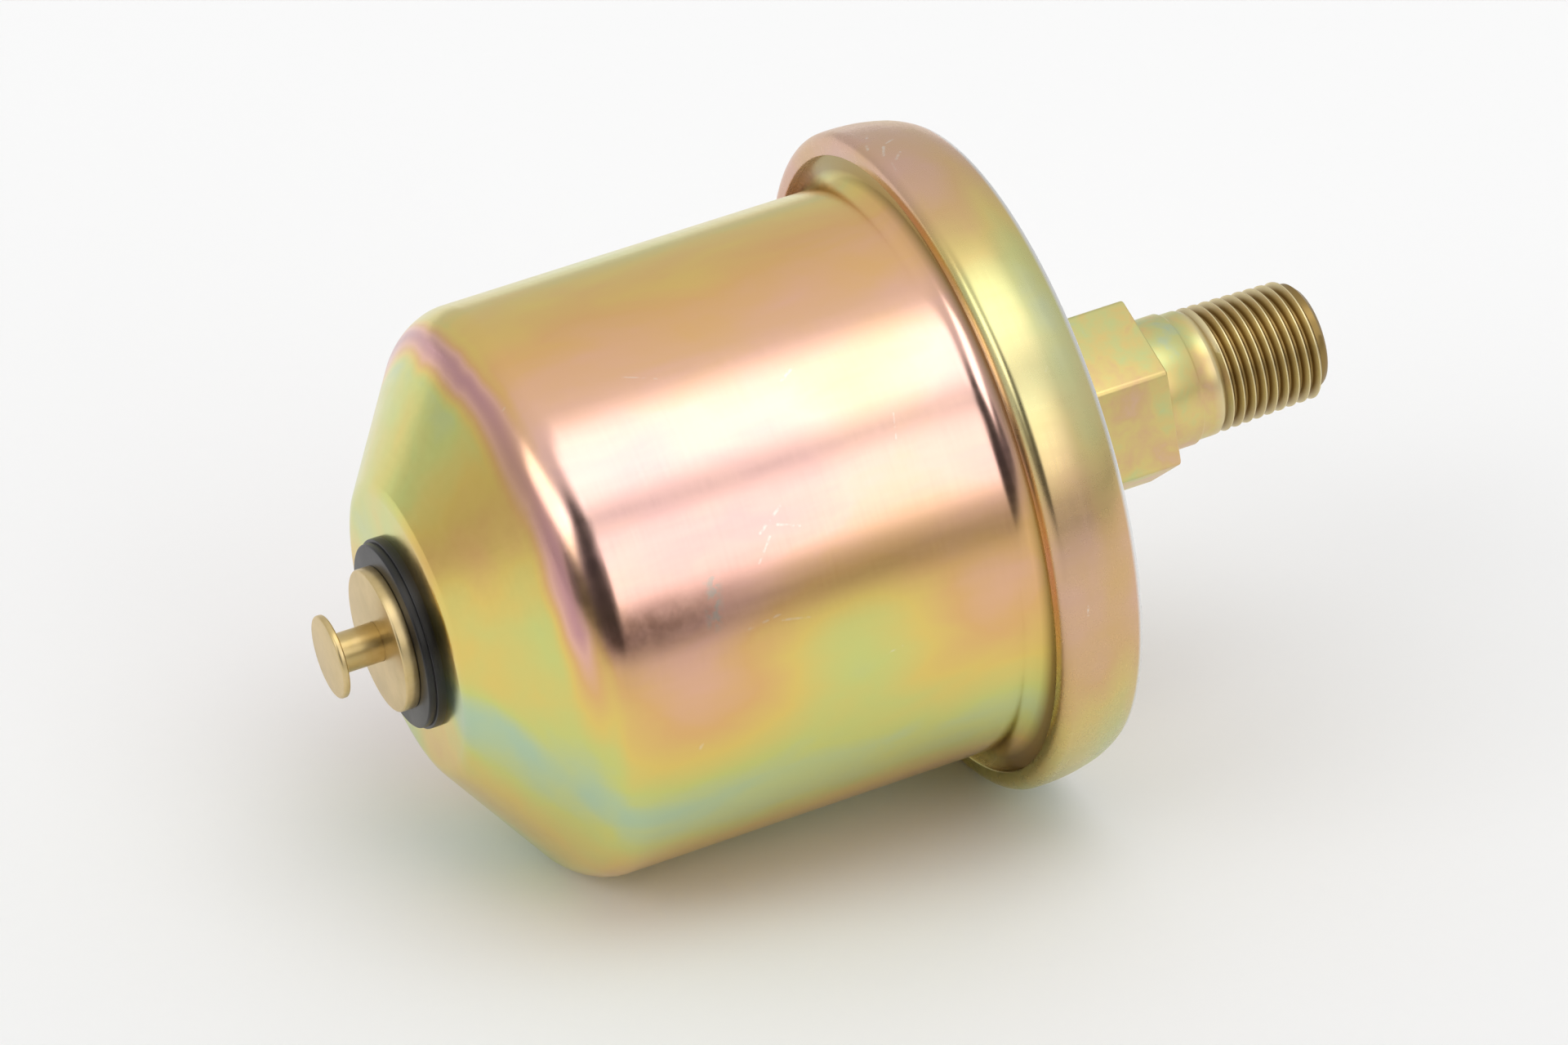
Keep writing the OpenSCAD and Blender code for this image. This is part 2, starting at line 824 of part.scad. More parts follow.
// Two rivets that hold the card holder on the tall cheek
module holder_rivets() {
    color([0.75, 0.66, 0.4])
        for (side = [-1, 1]) {
            post(card_x, holder_rivet_y(side), rivet_d / 2, card_z + card_t, cheek_z + bracket_t + seat_fit);
            post(
                card_x, holder_rivet_y(side), rivet_head_r,
                cheek_z + bracket_t, cheek_z + bracket_t + rivet_head_t
            );
        }
}

fitting();
restrictor();
base_shell();
seal_ring();
diaphragm();
support_plate();
flange_gasket();
can();
outer_insulator();
terminal_collar();
terminal_stud();
inner_insulator();
inner_washer();
lead_strip();
thrust_pad();
push_pin();
bracket();
bracket_rivets();
pivot_pin();
lever();
adjusting_screw();
wiper_arm();
wiper_contact();
return_spring();
resistor_card();
resistor_winding();
card_holder();
holder_rivets();
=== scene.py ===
# %% [markdown]
# Oil pressure sender
#
# This file dresses the measured model of a screw-in oil pressure sender. The measured model comes
# in as a fixed frame, and each visible piece is then made again as a smooth mesh with a finish.
# The sender's axis is the X axis: the thread points to +X and the terminal to -X.

# %% Load the frame
import json
import math

import bmesh
import bpy
from mathutils import Matrix, Vector


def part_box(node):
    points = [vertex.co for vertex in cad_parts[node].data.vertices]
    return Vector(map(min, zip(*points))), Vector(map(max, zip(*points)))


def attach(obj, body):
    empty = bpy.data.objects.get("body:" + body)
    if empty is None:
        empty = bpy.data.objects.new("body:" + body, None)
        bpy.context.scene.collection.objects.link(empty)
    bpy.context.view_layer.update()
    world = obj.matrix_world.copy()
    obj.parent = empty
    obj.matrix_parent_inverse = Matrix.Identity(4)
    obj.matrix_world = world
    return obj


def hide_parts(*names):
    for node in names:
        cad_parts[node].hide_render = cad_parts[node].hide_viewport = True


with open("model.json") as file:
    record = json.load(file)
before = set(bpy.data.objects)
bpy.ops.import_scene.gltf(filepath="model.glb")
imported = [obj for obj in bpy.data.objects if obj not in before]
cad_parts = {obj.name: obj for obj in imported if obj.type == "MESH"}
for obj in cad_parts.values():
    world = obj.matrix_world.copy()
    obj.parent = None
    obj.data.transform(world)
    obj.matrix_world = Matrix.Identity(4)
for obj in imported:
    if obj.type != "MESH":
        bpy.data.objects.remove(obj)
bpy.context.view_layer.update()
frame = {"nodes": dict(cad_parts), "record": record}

# %% [markdown]
# The camera is found from the photograph. In its 1920 by 1279 pixels the sender's axis rises to
# the right, and the circles of the can and the rim look like ellipses whose flatness says how far
# the nose leans towards the lens. The circles get rounder from the nose to the rim, which gives
# the focal length. The sender lies on its rim and on the can's shoulder, so its axis is not level,
# and the lens has no roll against the table.

# %% Values measured on the photograph
PHOTO_W = 1920
FOCAL_PX = 10000
AXIS_RISE = math.radians(18.25)
NOSE_LEAN = math.radians(17.42)
TABLE_TILT = math.radians(6.66)
AIM_STATION = -0.03512
AIM_SEEN = Vector((-0.000354, 0.001079, -0.649))
print("the axis rises by", round(math.degrees(AXIS_RISE), 2), "degrees in the picture")

# %% [markdown]
# Three directions are known as the lens sees them (right, up and back to the lens): the axis, the
# table's normal, and the one square to both. Together they are the turn from the part to the lens.

# %% Work out the camera's turn and place
axis_seen = Vector((
    math.cos(NOSE_LEAN) * math.cos(AXIS_RISE),
    math.cos(NOSE_LEAN) * math.sin(AXIS_RISE),
    -math.sin(NOSE_LEAN),
))
reach = math.hypot(axis_seen.y, axis_seen.z)
lens_height = math.acos(math.sin(TABLE_TILT) / reach) - math.atan2(-axis_seen.z, axis_seen.y)
up_seen = Vector((0, math.cos(lens_height), math.sin(lens_height)))
side_seen = up_seen.cross(axis_seen).normalized()
top_seen = axis_seen.cross(side_seen)
to_lens = Matrix((axis_seen, side_seen, top_seen)).transposed()
from_lens = to_lens.transposed()
middle = Vector((AIM_STATION, 0, 0))
lens_place = middle - from_lens @ AIM_SEEN
print("lens height over the table, degrees:", round(math.degrees(lens_height), 2))

# %% Set up the camera
camera_data = bpy.data.cameras.new("photo_lens")
camera_data.sensor_width = 36
camera_data.lens = FOCAL_PX / PHOTO_W * camera_data.sensor_width
camera_data.clip_start = 0.05
camera_data.clip_end = 20
camera = bpy.data.objects.new("photo_lens", camera_data)
camera.matrix_world = Matrix.Translation(lens_place) @ from_lens.to_4x4()
bpy.context.scene.collection.objects.link(camera)
bpy.context.scene.camera = camera
print("lens, mm:", round(camera_data.lens, 1))

# %% [markdown]
# The turned pieces start as a few corners of half a section. A spin about the X axis makes the
# solid, and a bevel on the ring of edges at a corner gives the bend its real radius. That keeps
# every bend a true arc, and its size can be read in the call.

# %% Helpers that turn a section and round its corners
MM = 0.001
TOUCH, WELD = 2e-6, 1e-7
TURN_STEPS = 192
X_AXIS = Vector((1, 0, 0))


def turned(corners):
    """Spins a closed section of (station, radius) corners, in mm, about the X axis."""
    bm = bmesh.new()
    points = [bm.verts.new((station * MM, 0, radius * MM)) for station, radius in corners]
    lines = [bm.edges.new(pair) for pair in zip(points, points[1:] + points[:1])]
    bmesh.ops.spin(
        bm, geom=points + lines, cent=(0, 0, 0), axis=X_AXIS, angle=math.tau,
        steps=TURN_STEPS, use_merge=True,
    )
    bmesh.ops.remove_doubles(bm, verts=bm.verts, dist=WELD)
    bmesh.ops.recalc_face_normals(bm, faces=bm.faces)
    return bm


def round_ring(bm, station, radius, bend, turn=90, segments=6):
    """Rounds the ring of edges at a corner of the section. The turn there is in degrees."""
    ring = [
        edge for edge in bm.edges
        if all(
            abs(vert.co.x - station * MM) < TOUCH
            and abs(math.hypot(vert.co.y, vert.co.z) - radius * MM) < TOUCH
            for vert in edge.verts
        )
    ]
    setback = bend * math.tan(math.radians(turn) / 2) * MM
    bmesh.ops.bevel(
        bm, geom=ring, offset=setback, offset_type="OFFSET", affect="EDGES",
        segments=segments, profile=0.5, material=-1, clamp_overlap=True,
    )
    return len(ring)


# %% [markdown]
# Each mesh becomes a piece that stands at the origin and takes the place of one measured piece, so
# it moves with the same body. Smooth shading up to an angle keeps the turned faces soft and the
# crisp edges crisp. A bevel on every edge would do that too, at the price of many more faces.

# %% A helper that makes a mesh a piece of the sender
SHARP = 35
slot_of = {part["node"]: part["material_slot"] for part in frame["record"]["subparts"]}


def finished(bm, name, node, sharp=SHARP):
    """Gives the mesh smooth shading up to an angle and lets it stand for a measured node."""
    mesh = bpy.data.meshes.new(name)
    bm.to_mesh(mesh)
    bm.free()
    mesh.polygons.foreach_set("use_smooth", [True] * len(mesh.polygons))
    mesh.set_sharp_from_angle(angle=math.radians(sharp))
    piece = bpy.data.objects.new(name, mesh)
    bpy.context.scene.collection.objects.link(piece)
    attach(piece, "root")
    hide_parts(node)
    print(name, "faces:", len(mesh.polygons))
    return piece


# %% [markdown]
# The stations come from the frame's boxes, so the new pieces stay where the measured ones are.

# %% Boxes of the measured pieces, in mm
fitting_low, fitting_high = (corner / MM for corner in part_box("fitting"))
can_low, can_high = (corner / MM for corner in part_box("can"))
shell_low, shell_high = (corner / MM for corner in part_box("base_shell"))
stud_low, stud_high = (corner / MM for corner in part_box("terminal_stud"))
collar_low, collar_high = (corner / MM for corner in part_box("terminal_collar"))
insulator_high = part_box("outer_insulator")[1] / MM
print("can from", round(can_low.x, 2), "to", round(can_high.x, 2))

# %% [markdown]
# The can is drawn from sheet steel: a flat nose, a cone, a cylinder and a flare that ends in the
# flange under the rim. It could be a solid block, but a wall of sheet thickness keeps the hole in
# the nose true. The inner line follows the outer one, a wall further in.

# %% Values of the can, in mm
CAN_R = 23.5
CAN_WALL = 0.8
NOSE_R = 11.8
NOSE_HOLE_R = 4.12
CONE_ANGLE = 54.5
CAN_BENDS = (
    # corner, bend radius, turn in degrees, segments
    (1, 2.0, 90 - CONE_ANGLE, 8), (2, 4.5, CONE_ANGLE, 16), (3, 2.2, 90, 14),
)
FLARE_CORNER = 3
FLANGE_R = can_high.y
flange_front = can_high.x - CAN_WALL
cone = math.radians(CONE_ANGLE)
print("flange's front at", round(flange_front, 2))


# %% Model the can
def can_corners(depth):
    """Corners of the can's section, set in from its outer face by a depth."""
    front = can_low.x + depth
    cone_r = NOSE_R - depth * math.tan((math.pi / 2 - cone) / 2)
    wall = CAN_R - depth
    return [
        (front, NOSE_HOLE_R),
        (front, cone_r),
        (front + (wall - cone_r) / math.tan(cone), wall),
        (flange_front + depth, wall),
        (flange_front + depth, FLANGE_R),
    ]


outer, inner = can_corners(0), can_corners(CAN_WALL)
can_mesh = turned(outer + inner[::-1])
for index, bend, turn, segments in CAN_BENDS:
    round_ring(can_mesh, *outer[index], bend, turn, segments)
    inner_bend = bend + CAN_WALL if index == FLARE_CORNER else bend - CAN_WALL
    round_ring(can_mesh, *inner[index], inner_bend, turn, segments)
can = finished(can_mesh, "can_shell", "can")

# %% [markdown]
# The base is a pressed cup whose wall is rolled over the can's flange. Its section is a low barrel,
# widest near the front, with a full round where the roller turned the lip over and a crisp edge at
# the back face. Three long bends that nearly touch give the barrel its even curve.

# %% Values of the base, in mm
RIM_WALL = 1.15
LIP_REACH = 0.6
BACK_R = 26.2
BASE_WALL = 1.5
SPIGOT_R = 4.5
SEAT_FIT = 0.02
RIM_BENDS = (
    # corner, bend radius, turn in degrees, segments
    (1, 0.25, 60, 4), (2, 5, 17, 5), (3, 15, 4, 4), (4, 13, 13, 8), (5, 1.05, 87, 12),
    (6, 0.12, 90, 3),
)
back, front = shell_high.x, shell_low.x
RIM_R = shell_high.y
RIM_INNER_R = RIM_R - RIM_WALL
LIP_R = FLANGE_R - LIP_REACH
HOLE_R = SPIGOT_R + SEAT_FIT
print("rim's radius:", round(RIM_R, 2), "and its lip's:", round(LIP_R, 2))

# %% Model the base and its rolled rim
rim_section = [
    (back, HOLE_R), (back, BACK_R), (back - 1.2, RIM_R - 0.65), (back - 2.7, RIM_R - 0.3),
    (back - 4.8, RIM_R + 0.05), (front, RIM_R - 0.1), (front, LIP_R), (flange_front, LIP_R),
    (flange_front, RIM_INNER_R), (back - BASE_WALL, RIM_INNER_R), (back - BASE_WALL, HOLE_R),
]
rim_mesh = turned(rim_section)
for index, bend, turn, segments in RIM_BENDS:
    round_ring(rim_mesh, *rim_section[index], bend, turn, segments)
rim = finished(rim_mesh, "rolled_rim", "base_shell")

# %% [markdown]
# The hexagon, the shank and the threaded end are turned from one bar, so they share one mesh. The
# thread is a tapered one with a pitch of 1 mm. A small V-shaped section is spun with a step along
# the axis, which makes the helix. It is then squeezed to the taper, and its two ends fade into the
# plain band and the chamfer, as a die leaves them.

# %% Values of the fitting, in mm
HEX_AF = 14.0
HEX_TURN = math.radians(22)
HEX_EDGE = 0.3
HEX_END = 0.15
HEX_FRONT = -3.3
SHANK_R = 5.53
BAND_R = 5.3
PORT_R = 1.8
PITCH = 1.0
THREAD_STEPS = 72
THREAD_DEPTH = 0.6
THREAD_START = 1.5
RUN_OUT = 1.4
TAPER = 1 / 32
CREST_R = 5.3
TIP_DROP = 0.9
OVERLAP = 0.3
THREAD_WELD = 2e-6
thread_near = THREAD_START - OVERLAP
tip = fitting_high.x
print("thread from", thread_near, "to", round(tip, 2))


# %% Spin the thread into a helix
LEAD_IN, SPARE_TURNS = 2, 4
V_SECTION = (
    # share of the pitch, 0 for the root and 1 for the crest
    (0, 0), (0.08, 0), (0.45, 1), (0.55, 1), (0.92, 0), (1, 0),
)


def thread_surface():
    """Spins a V-shaped section into a helix that is longer than the thread at both ends."""
    bm = bmesh.new()
    root = CREST_R - THREAD_DEPTH
    section = [(share * PITCH - LEAD_IN, CREST_R if crest else root) for share, crest in V_SECTION]
    points = [bm.verts.new((station * MM, 0, radius * MM)) for station, radius in section]
    lines = [bm.edges.new(pair) for pair in zip(points, points[1:])]
    turns = math.ceil(tip / PITCH) + SPARE_TURNS
    bmesh.ops.spin(
        bm, geom=points + lines, cent=(0, 0, 0), axis=X_AXIS,
        dvec=X_AXIS * (PITCH / THREAD_STEPS * MM), angle=math.tau * turns,
        steps=THREAD_STEPS * turns,
    )
    bmesh.ops.remove_doubles(bm, verts=bm.verts, dist=THREAD_WELD)
    return bm


# %% Squeeze the thread to its taper and trim its ends
ON_PLANE = 1e-8


def thread_radius(station, radius):
    """The radius of a point after the taper, the run-out and the chamfer."""
    crest = CREST_R - TAPER * max(station - THREAD_START, 0)
    share = min(max((station - THREAD_START) / RUN_OUT, 0), 1)
    wanted = crest - (CREST_R - radius) * share
    return min(wanted, crest - TIP_DROP + (tip - station))


def trimmed_thread():
    """The thread between the plain band and the tip, open at both ends."""
    bm = thread_surface()
    for station, drop_far in ((thread_near, False), (tip, True)):
        bmesh.ops.bisect_plane(
            bm, geom=bm.verts[:] + bm.edges[:] + bm.faces[:], dist=ON_PLANE,
            plane_co=(station * MM, 0, 0), plane_no=X_AXIS,
            clear_outer=drop_far, clear_inner=not drop_far,
        )
    for vert in bm.verts:
        radius = math.hypot(vert.co.y, vert.co.z)
        scale = thread_radius(vert.co.x / MM, radius / MM) * MM / radius
        vert.co.y *= scale
        vert.co.z *= scale
    bmesh.ops.remove_doubles(bm, verts=bm.verts, dist=THREAD_WELD / 2)
    return bm


# %% [markdown]
# From the thread's two open ends the mesh goes on ring by ring: out over the band and the shank to
# the hexagon, and in through the bore to the back. Solids could be joined and cut by booleans, but
# bridged rings keep clean faces all along. The hexagon's ends get a fine bevel, as the bar does
# when it is parted off.

# %% Helpers that carry the thread on to the bore, the shank and the hexagon
FACING_X = Matrix.Rotation(math.pi / 2, 4, "Y")


def ring_at(bm, station):
    """The open edges that lie at a station."""
    return [
        edge for edge in bm.edges
        if edge.is_boundary and all(abs(vert.co.x - station * MM) < TOUCH for vert in edge.verts)
    ]


def extend(bm, ring, station, radius):
    """Joins an open ring to a new circle and hands the new ring back."""
    made = bmesh.ops.create_circle(
        bm, cap_ends=False, radius=radius * MM, segments=THREAD_STEPS,
        matrix=Matrix.Translation((station * MM, 0, 0)) @ FACING_X,
    )
    new_ring = list({edge for vert in made["verts"] for edge in vert.link_edges})
    bmesh.ops.bridge_loops(bm, edges=ring + new_ring)
    return new_ring


def add_hexagon(bm):
    """Adds a six-sided prism with rounded long edges and open ends. Gives its two end rings."""
    length = back - HEX_FRONT
    corner_r = HEX_AF / math.sqrt(3) * MM
    made = bmesh.ops.create_cone(
        bm, cap_ends=False, segments=6, radius1=corner_r, radius2=corner_r,
        depth=abs(length) * MM,
        matrix=Matrix.Translation(((HEX_FRONT + length / 2) * MM, 0, 0))
        @ FACING_X @ Matrix.Rotation(HEX_TURN, 4, "Z"),
    )
    long_edges = {
        edge for vert in made["verts"] for edge in vert.link_edges
        if abs(edge.verts[0].co.x - edge.verts[1].co.x) > MM
    }
    bmesh.ops.bevel(
        bm, geom=list(long_edges), offset=HEX_EDGE * MM, offset_type="OFFSET", affect="EDGES",
        segments=4, profile=0.5, material=-1,
    )
    return ring_at(bm, HEX_FRONT), ring_at(bm, back)


# %% Model the fitting
BORE_CHAMFER = 0.25
FITTING_SHARP = 40
CREASE = 1
fitting_mesh = trimmed_thread()
near_ring, tip_ring = ring_at(fitting_mesh, thread_near), ring_at(fitting_mesh, tip)
print("edges at the ends of the thread:", len(near_ring), len(tip_ring))
hex_near, hex_far = add_hexagon(fitting_mesh)
bore_rings = (
    (tip, PORT_R + BORE_CHAMFER), (tip - BORE_CHAMFER, PORT_R), (fitting_low.x, PORT_R),
    (fitting_low.x, SPIGOT_R), (back, SPIGOT_R),
)
shank_rings = ((0.2, BAND_R), (0, SHANK_R - 0.08), (-0.12, SHANK_R), (HEX_FRONT, SHANK_R))
for station, radius in bore_rings:
    tip_ring = extend(fitting_mesh, tip_ring, station, radius)
for station, radius in shank_rings:
    near_ring = extend(fitting_mesh, near_ring, station, radius)
bmesh.ops.bridge_loops(fitting_mesh, edges=near_ring + hex_near)
bmesh.ops.bridge_loops(fitting_mesh, edges=tip_ring + hex_far)

# %% Bevel the hexagon's ends and finish the fitting
flat_r = (HEX_AF / 2 - 0.01) * MM
end_edges = [
    edge for edge in fitting_mesh.edges
    if abs(edge.verts[0].co.x - edge.verts[1].co.x) < WELD and edge.calc_face_angle(0) > CREASE
    and min(math.hypot(vert.co.y, vert.co.z) for vert in edge.verts) > flat_r
]
print("edges to bevel:", len(end_edges))
bmesh.ops.bevel(
    fitting_mesh, geom=end_edges, offset=HEX_END * MM, offset_type="OFFSET", affect="EDGES",
    segments=3, profile=0.5, material=-1,
)
bmesh.ops.recalc_face_normals(fitting_mesh, faces=fitting_mesh.faces)
print("open edges left:", sum(not edge.is_manifold for edge in fitting_mesh.edges))
fitting = finished(fitting_mesh, "threaded_fitting", "fitting", FITTING_SHARP)

# %% [markdown]
# The terminal is a brass stud with a nail head, on which a push-on lead snaps. The stud holds the
# collar and the moulded washer against the can, and its far end is spread inside. It could be made
# from two cylinders, but one spun section gives the head, the neck and their small rounds at once.

# %% Model the stud
STUD_R = 1.625
STUD_HOLE_R = STUD_R + SEAT_FIT
HEAD_R = stud_high.y
HEAD_T = 0.55
SWAGED_R = STUD_R + 0.9
head_back = stud_low.x + HEAD_T
swage_front = stud_high.x - HEAD_T
stud_section = [
    (stud_low.x, 0.0), (stud_low.x, HEAD_R), (head_back, HEAD_R), (head_back, STUD_R),
    (swage_front, STUD_R), (swage_front, SWAGED_R), (stud_high.x, SWAGED_R), (stud_high.x, 0.0),
]
stud_mesh = turned(stud_section)
for index, bend in ((1, 0.2), (2, 0.12), (3, 0.25)):
    round_ring(stud_mesh, *stud_section[index], bend, 90, 4)
stud = finished(stud_mesh, "nail_head_stud", "terminal_stud")

# %% [markdown]
# Under the stud's neck lie a brass collar and a black moulded washer that keeps them clear of the
# can. The washer's front layer is a touch smaller, which leaves the fine step that shows as a line
# on its edge. A bump could draw that line, but a real step also shows in the outline.

# %% Model the collar
COLLAR_R = collar_high.y
collar_section = [
    (collar_low.x, STUD_HOLE_R), (collar_low.x, COLLAR_R), (collar_high.x, COLLAR_R),
    (collar_high.x, STUD_HOLE_R),
]
collar_mesh = turned(collar_section)
for index, bend in ((1, 0.18), (2, 0.1)):
    round_ring(collar_mesh, *collar_section[index], bend, 90, 4)
collar = finished(collar_mesh, "brass_collar", "terminal_collar")

# %% Model the moulded washer
INSULATOR_R = insulator_high.y
STEP = 0.25
STEP_SHARE = 0.45
SPIGOT_FIT_R = NOSE_HOLE_R - SEAT_FIT
step_station = collar_high.x + (can_low.x - collar_high.x) * STEP_SHARE
insulator_section = [
    (collar_high.x, STUD_HOLE_R), (collar_high.x, INSULATOR_R - STEP),
    (step_station, INSULATOR_R - STEP), (step_station, INSULATOR_R), (can_low.x, INSULATOR_R),
    (can_low.x, SPIGOT_FIT_R), (insulator_high.x, SPIGOT_FIT_R), (insulator_high.x, STUD_HOLE_R),
]
insulator_mesh = turned(insulator_section)
for index, bend in ((1, 0.15), (3, 0.08)):
    round_ring(insulator_mesh, *insulator_section[index], bend, 90, 3)
insulator = finished(insulator_mesh, "moulded_washer", "outer_insulator")

# %% [markdown]
# Each finish is a tree of nodes on object coordinates. It needs no picture and no unwrapping, and
# it stays on its piece when the piece moves. It could be drawn by hand in the node editor, but
# short helpers make the same nodes in one line each. In all of them a source is either a plain
# value or the output of another node.

# %% Helpers that add nodes and link them
def new_material(name):
    """A material with a principled shader. Gives the material, its tree and the shader."""
    material = bpy.data.materials.new(name)
    material.use_nodes = True
    tree = material.node_tree
    shader = next(node for node in tree.nodes if node.type == "BSDF_PRINCIPLED")
    return material, tree, shader


def plug(tree, socket, source):
    """Links an output to a socket, or sets the socket to a value."""
    if isinstance(source, bpy.types.NodeSocket):
        tree.links.new(source, socket)
    elif isinstance(source, tuple) and len(source) == 3 and socket.type == "RGBA":
        socket.default_value = (*source, 1)
    else:
        socket.default_value = source


def add(tree, kind, sockets=(), **settings):
    """Adds a node, sets its properties and fills its sockets from (socket, source) pairs."""
    node = tree.nodes.new(kind)
    for key, value in settings.items():
        setattr(node, key, value)
    for socket, source in sockets:
        plug(tree, node.inputs[socket], source)
    return node


# %% Helpers for sums and ranges
GIVES_VALUE = ("DOT_PRODUCT", "LENGTH", "DISTANCE")


def calc(tree, operation, a, b=0.0):
    """A math node of two values."""
    return add(tree, "ShaderNodeMath", ((0, a), (1, b)), operation=operation).outputs["Value"]


def vector(tree, operation, a, b=(0, 0, 0)):
    """A math node of two vectors, which gives a vector or a value."""
    node = add(tree, "ShaderNodeVectorMath", ((0, a), (1, b)), operation=operation)
    return node.outputs["Value" if operation in GIVES_VALUE else "Vector"]


def times(tree, *values):
    """The product of the values."""
    product = values[0]
    for value in values[1:]:
        product = calc(tree, "MULTIPLY", product, value)
    return product


def total(tree, *values):
    """The sum of the values."""
    whole = values[0]
    for value in values[1:]:
        whole = calc(tree, "ADD", whole, value)
    return whole


def spread(tree, value, low_in, high_in, low_out=0.0, high_out=1.0, kind="LINEAR"):
    """Maps a value from one range to another and keeps it inside."""
    return add(tree, "ShaderNodeMapRange", (
        ("Value", value), ("From Min", low_in), ("From Max", high_in), ("To Min", low_out),
        ("To Max", high_out),
    ), interpolation_type=kind).outputs["Result"]


def hill(tree, value, top, half_width):
    """1 at the top, falling smoothly to 0 at the half width."""
    away = calc(tree, "ABSOLUTE", calc(tree, "SUBTRACT", value, top))
    return spread(tree, away, half_width, 0, kind="SMOOTHSTEP")


# %% Helpers for places, noise and colours
MIX_FACTOR, MIX_A, MIX_B, MIX_RESULT = 0, 6, 7, 2


def place(tree, scale=(1, 1, 1)):
    """Object coordinates in metres, stretched by a scale."""
    spot = add(tree, "ShaderNodeTexCoord").outputs["Object"]
    return add(tree, "ShaderNodeMapping", (("Vector", spot), ("Scale", scale))).outputs["Vector"]


def noise(tree, where, scale, detail=3.0, roughness=0.5, distortion=0.0):
    """A noise value about 0.5."""
    return add(tree, "ShaderNodeTexNoise", (
        ("Vector", where), ("Scale", scale), ("Detail", detail), ("Roughness", roughness),
        ("Distortion", distortion),
    )).outputs["Fac"]


def greys(stops):
    """Turns (position, value) stops into stops of grey."""
    return [(position, (value,) * 3) for position, value in stops]


def ramp(tree, factor, stops, kind="LINEAR"):
    """A colour ramp from (position, colour) stops."""
    node = add(tree, "ShaderNodeValToRGB", (("Fac", factor),))
    node.color_ramp.interpolation = kind
    elements = node.color_ramp.elements
    for element, (position, colour) in zip(elements, (stops[0], stops[-1])):
        element.position, element.color = position, (*colour, 1)
    for position, colour in stops[1:-1]:
        elements.new(position).color = (*colour, 1)
    return node.outputs["Color"]


def mix(tree, factor, a, b):
    """A mix of two colours."""
    sockets = ((MIX_FACTOR, factor), (MIX_A, a), (MIX_B, b))
    return add(tree, "ShaderNodeMix", sockets, data_type="RGBA").outputs[MIX_RESULT]


def bump(tree, height, strength, distance):
    """A normal from a height."""
    return add(tree, "ShaderNodeBump", (
        ("Height", height), ("Strength", strength), ("Distance", distance),
    )).outputs["Normal"]


# %% [markdown]
# The steel parts are zinc plated and yellow passivated. That film is a fraction of a micron thick,
# and its colour follows its thickness: sea green, yellow green, gold, tan, pink and mauve. Layered
# glass shaders could give such colours too, but a ramp is quicker and its tones can be chosen, so
# one ramp holds them, and each part has its own map of the thickness. The bath drained along the
# sender, so the thickness drifts round the axis more than along it.

# %% The film's colours
FILM_TONES = (
    (0.0, (0.47, 0.62, 0.43)),  # sea green
    (0.18, (0.64, 0.66, 0.22)),  # yellow green
    (0.36, (0.80, 0.60, 0.17)),  # gold
    (0.54, (0.78, 0.47, 0.19)),  # tan
    (0.74, (0.80, 0.46, 0.36)),  # pink
    (0.9, (0.62, 0.33, 0.33)),  # mauve
    (1.0, (0.48, 0.46, 0.42)),  # grey
)


def film(tree, thickness):
    """The film's colour for a thickness from 0 to 1."""
    return ramp(tree, thickness, FILM_TONES)


print("tones of the film:", len(FILM_TONES))

# %% [markdown]
# The photograph shows where each colour lies by its place along the axis and round it. The height
# round the axis is -1 at the underside and 1 at the top as the lens sees them. That single number
# could be an angle, but it has no seam, and it stays the same all along a turned part.

# %% Where a point lies on the turned parts
METRES_TO_MM = (1000, 1000, 1000)
facing = from_lens @ Vector((0, 0, 1))
facing.x = 0
facing.normalize()
over = facing.cross(X_AXIS)


def part_place(tree):
    """Gives the station in mm, the radius in mm and the height round the axis from -1 to 1."""
    spot = place(tree, METRES_TO_MM)
    station = add(tree, "ShaderNodeSeparateXYZ", ((0, spot),)).outputs["X"]
    flat = vector(tree, "MULTIPLY", spot, (0, 1, 1))
    radius = vector(tree, "LENGTH", flat)
    lift = vector(tree, "DOT_PRODUCT", flat, tuple(over))
    return station, radius, calc(tree, "DIVIDE", lift, radius)


def level(tree, height, stops):
    """A smooth curve through (height, thickness) stops, with heights from -1 to 1."""
    shifted = [((stop + 1) / 2, value) for stop, value in stops]
    return ramp(tree, spread(tree, height, -1, 1), greys(shifted), "B_SPLINE")


def clouds(tree, scale, amount, detail=2.0, stretch=0.45):
    """Noise about 0, drawn out along the axis."""
    soft = noise(tree, place(tree, (stretch, 1, 1)), scale, detail, 0.55, 0.5)
    return times(tree, calc(tree, "SUBTRACT", soft, 0.5), amount)


print("side that faces the lens:", [round(c, 3) for c in facing])

# %% [markdown]
# Handling left short scuffs on the can and the roller left tool marks on the rim. They could be
# cut as grooves, but they are only a change of colour in the film. Each is a short line on the
# surface: the distance from a point to the line, broken up by noise, says how much of the mark
# shows there.

# %% Helpers for scuffs
RAGGED_SCALE = 1.6
RAGGED_LOW, RAGGED_HIGH = 0.42, 0.58
CORE_SHARE = 0.3


